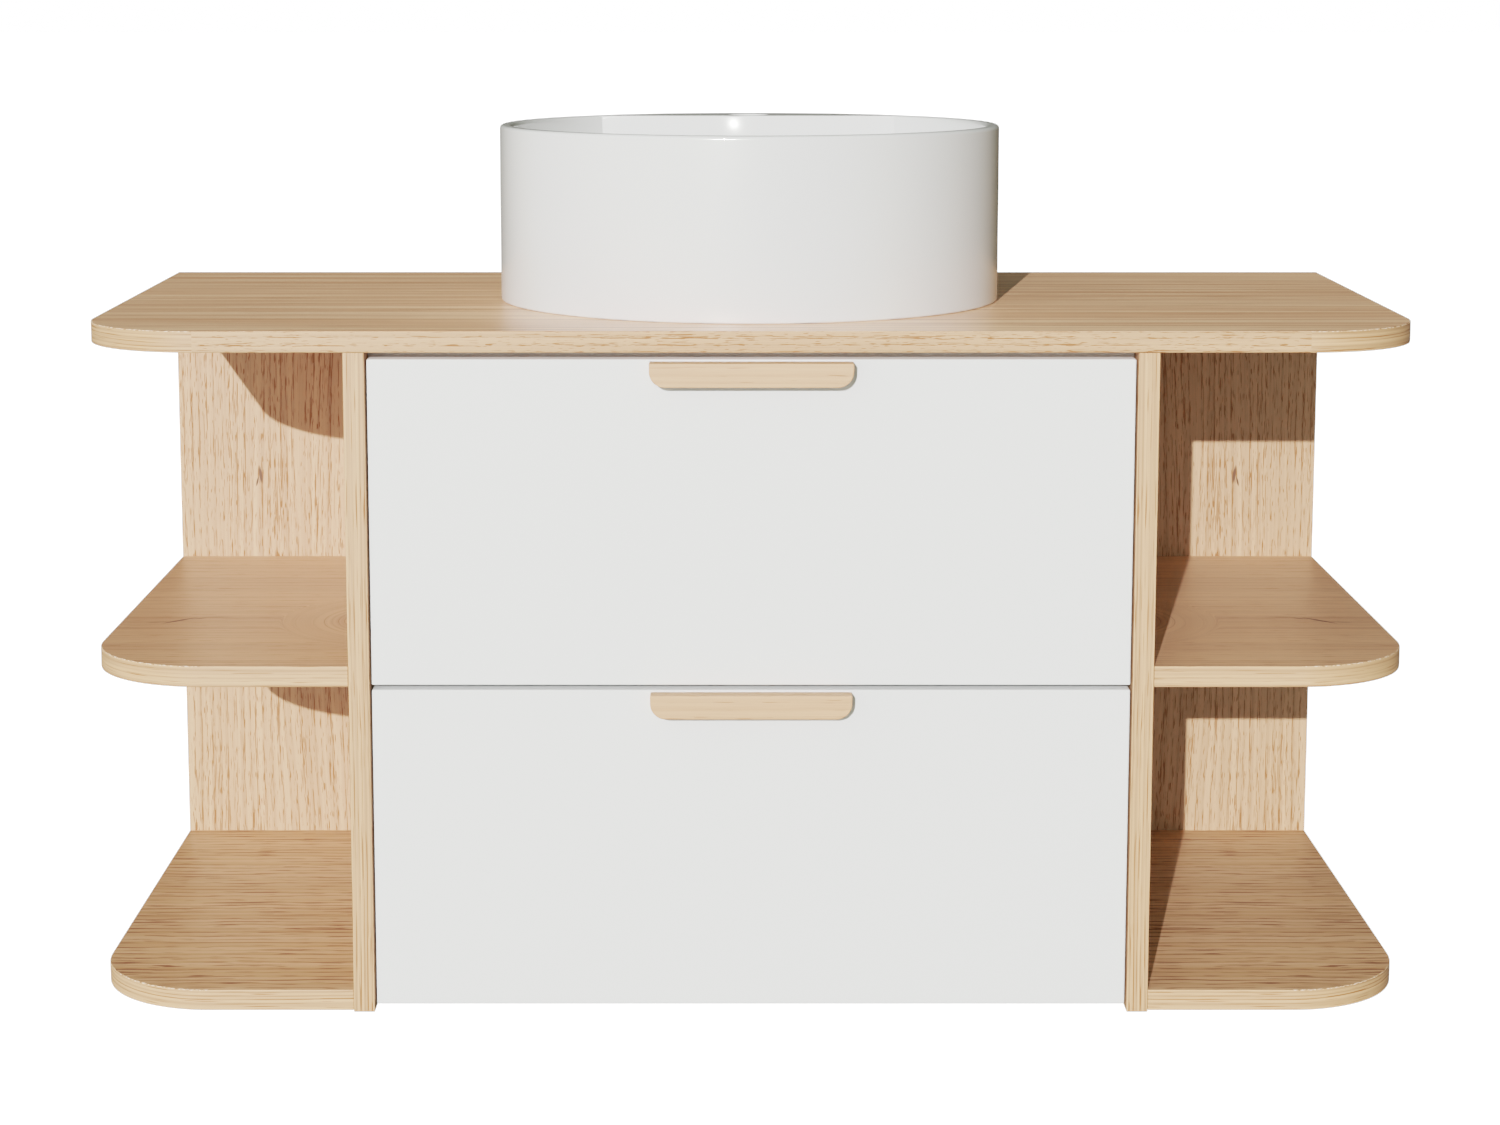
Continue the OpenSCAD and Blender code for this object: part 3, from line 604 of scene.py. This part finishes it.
for side in ("left", "right"):
    node = "upright_" + side
    low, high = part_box(node)
    piece = board(node + "_board", low, high, OAK["streak"], fold=True)
    paint(piece, OAK["panel"], OAK["streak"], choose=lambda face: 0 if abs(face.normal.x) > 0.9 else 1)
    stand_for(piece, node)
    node = "back_panel_" + side
    low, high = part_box(node)
    stand_for(board(node + "_board", low, high, OAK["panel"], fold=True), node)

for node in ("cabinet_floor", "front_rail", "back_rail_bottom"):
    low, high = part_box(node)
    stand_for(board(node + "_board", low, high, FINISH["white_board"], grain_axis="x"), node)


# ---- Drawer fronts and handles ----

def drawer_front(node):
    low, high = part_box(node)
    piece = board(node + "_panel", low, high, FINISH["front_lacquer"], grain_axis="x", ease=0.0011)
    return stand_for(piece, node)


def handle(node, across):
    """A solid oak bar with rounded lower corners and a finger grip cut up behind it.

    across shifts the grain map, so that the two handles aren't cut from the same wood."""
    low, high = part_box(node)
    outline = filleted([(low.x, high.z, 0), (high.x, high.z, 0), (high.x, low.z, HANDLE_R),
                        (low.x, low.z, HANDLE_R)], steps=14)
    piece = extruded(node + "_bar", outline, FLAT["y"], low.y, high.y)
    half, deep, tall = GRIP[0] / 2, GRIP[1], GRIP[2]
    grip = filleted([(high.y - deep, low.z - 0.01, 0), (high.y + 0.01, low.z - 0.01, 0),
                     (high.y + 0.01, low.z + tall, 0), (high.y - deep, low.z + tall, 0.003)], steps=6)
    cut(piece, extruded("grip", grip, FLAT["x"], -half, half))
    eased(piece, width=0.0008)
    grain_map(piece, "x", shift=(0.0, across))
    paint(piece, OAK["handle"])
    return stand_for(piece, node)


for level, across in (("top", 0.4), ("bottom", 0.7)):
    drawer_front(level + "_front")
    handle(level + "_handle", across)


# ---- Basin ----

def basin_profile(angle, radius, low, high):
    """The basin's closed section at one angle round its centre, as (distance, height) points."""
    inner = radius - BASIN_WALL
    towards_wall = math.sin(angle)
    chord = DECK_CHORD / towards_wall if towards_wall > 0 else 1e9
    reach = min(inner, chord)
    least = 0.001
    has_hollow = reach + DECK_WALL < inner - least
    hollow = reach + DECK_WALL if has_hollow else inner - least
    ceiling = high - DECK_THICK if has_hollow else low + FOOT
    floor_z = low + BOWL_FLOOR
    lip = 0.0012 if reach < inner - least else 0.003
    return filleted([
        (DRAIN_R, low + SEAL, 0), (BOSS_R, low + SEAL, 0), (BOSS_R, low + FOOT, 0), (hollow, low + FOOT, 0),
        (hollow, ceiling, 0), (inner, ceiling, 0), (inner, low, 0), (radius, low, 0.002), (radius, high, lip),
        (reach, high, lip), (reach - 0.003, floor_z, 0.030), (DRAIN_R, floor_z - 0.0025, 0)], steps=8)


def basin():
    low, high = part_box("basin")
    centre = (low + high) / 2
    edge = math.asin(DECK_CHORD / (BASIN_R - BASIN_WALL))
    angles = [edge + (math.pi - 2 * edge) * k / 48 for k in range(49)]
    angles += [math.pi - edge + (math.pi + 2 * edge) * k / 176 for k in range(1, 176)]
    rings = [basin_profile(a, BASIN_R, low.z, high.z) for a in angles]
    n, m = len(rings[0]), len(rings)
    vertices = [(centre.x + p[0] * math.cos(a), centre.y + p[0] * math.sin(a), p[1])
                for a, ring in zip(angles, rings) for p in ring]
    faces = [(k * n + i, k * n + (i + 1) % n, ((k + 1) % m) * n + (i + 1) % n, ((k + 1) % m) * n + i)
             for k in range(m) for i in range(n)]
    piece = new_piece("basin_shell", vertices, faces)
    top, below, rounding = high.z + 0.001, high.z - 0.05, 0.0025
    mouth = [(TAP_R + rounding * (1 - math.cos(t)), high.z - rounding + rounding * math.sin(t))
             for t in (i * math.pi / 16 for i in range(9))]
    drill = [(0, below), (TAP_R, below), *mouth, (TAP_R + rounding, top), (0, top)]
    cut(piece, lathe("drill", drill, (0, centre.y + DECK_CHORD + TAP_FROM_CHORD, 0), steps=64))
    for face in piece.data.polygons:
        face.use_smooth = True
    piece.data.set_sharp_from_angle(angle=math.radians(34))
    paint(piece, FINISH["glaze"])
    return stand_for(piece, "basin")


basin()


# ---- Everything else keeps its CAD shape ----

for node, shown in frame["nodes"].items():
    if not shown.hide_render:
        paint(shown, FINISH[SLOT_OF[node]])


# ---- Stage, lights and camera ----

def stage_floor():
    """A plain white floor at the height that a hung vanity has above it."""
    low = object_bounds()[0]
    drop, size = 0.33, 60.0
    made, _, shader = material("stage_white")
    shader.inputs["Base Color"].default_value = (1, 1, 1, 1)
    shader.inputs["Roughness"].default_value = 1.0
    shader.inputs["Emission Color"].default_value = (1, 1, 1, 1)
    shader.inputs["Emission Strength"].default_value = WHITE
    z = low.z - drop
    floor = new_piece("stage_floor", [(-size, -size, z), (size, -size, z), (size, size, z), (-size, size, z)],
                      [(0, 1, 2, 3)])
    paint(floor, made)
    floor.visible_diffuse = floor.visible_glossy = floor.visible_shadow = False
    floor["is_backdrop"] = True


def world():
    """White to the camera. Lights softly, brightest from the left, then the front, and darkest behind."""
    made = bpy.data.worlds.new("studio")
    bpy.context.scene.world = made
    made.use_nodes = True
    tree = made.node_tree
    direction = add(tree, "ShaderNodeTexCoord").outputs["Generated"]

    def lobe(aim, colour, start):
        facing = add(tree, "ShaderNodeVectorMath", {0: direction, 1: Vector(aim).normalized()},
                     operation="DOT_PRODUCT").outputs["Value"]
        return ramp(tree, facing, [(start, 0.0), (1.0, colour)], smooth=True)

    sky = blend_colour(tree, 1.0, lobe((-1.0, -0.45, 0.05), (1.13, 1.18, 1.10), 0.1),
                       lobe((0.5, -1.0, 0.10), (0.30, 0.31, 0.25), 0.0), mode="ADD")
    sky = blend_colour(tree, 1.0, sky, (0.086, 0.086, 0.058), mode="ADD")
    seen = add(tree, "ShaderNodeLightPath").outputs["Is Camera Ray"]
    background = tree.nodes["Background"]
    tree.links.new(blend_colour(tree, seen, sky, (WHITE, WHITE, WHITE)), background.inputs["Color"])


def sun():
    lamp = bpy.data.lights.new("key_sun", "SUN")
    lamp.energy, lamp.angle = 6.75, math.radians(0.4)
    holder = bpy.data.objects.new("key_sun", lamp)
    holder.rotation_mode = "QUATERNION"
    holder.rotation_quaternion = Vector((0.209, 1.0, -0.299)).to_track_quat("-Z", "Y")
    bpy.context.collection.objects.link(holder)


def glint():
    """A small soft spot on the flat wall inside the bowl, where its curved wall gathers the sun."""
    lamp = bpy.data.lights.new("glint", "SPOT")
    lamp.energy, lamp.shadow_soft_size = 0.5, 0.004
    lamp.spot_size, lamp.spot_blend = math.radians(1.2), 1.0
    holder = bpy.data.objects.new("glint", lamp)
    low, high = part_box("basin")
    aim = Vector((-0.011, (low.y + high.y) / 2 + DECK_CHORD, high.z - 0.007))
    holder.location = aim + Vector((0.0, -1.45, 0.15))
    holder.rotation_mode = "QUATERNION"
    holder.rotation_quaternion = (aim - holder.location).to_track_quat("-Z", "Y")
    bpy.context.collection.objects.link(holder)


def tone():
    """A film-like tone curve: highlights are pressed together and white is reached at WHITE."""
    view = bpy.context.scene.view_settings
    view.view_transform, view.use_curve_mapping = "Standard", True
    mapping = view.curve_mapping
    mapping.use_clip, mapping.clip_max_x = False, WHITE
    curve = mapping.curves[3]
    curve.points[1].location = (WHITE, 1.0)
    for x, y in ((0.09, 0.11), (0.35, 0.352), (0.63, 0.5), (1.34, 0.688), (2.03, 0.776)):
        curve.points.new(x, y)
    mapping.update()


def camera():
    """The photograph's view: from just above the rim, a little left of centre, looking 8 degrees down."""
    lens = bpy.data.cameras.new("view")
    lens.lens, lens.sensor_width = 74.0, 36.0
    lens.shift_x, lens.shift_y = 0.0146, -0.0900
    holder = bpy.data.objects.new("view", lens)
    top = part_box("worktop")[1].z
    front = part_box("worktop")[0].y
    holder.location = (-0.0171, front - 2.2423, top + 0.2555)
    holder.rotation_euler = (math.radians(90 - 8.29), 0, 0)
    bpy.context.collection.objects.link(holder)
    bpy.context.scene.camera = holder


stage_floor()
world()
sun()
glint()
camera()
tone()
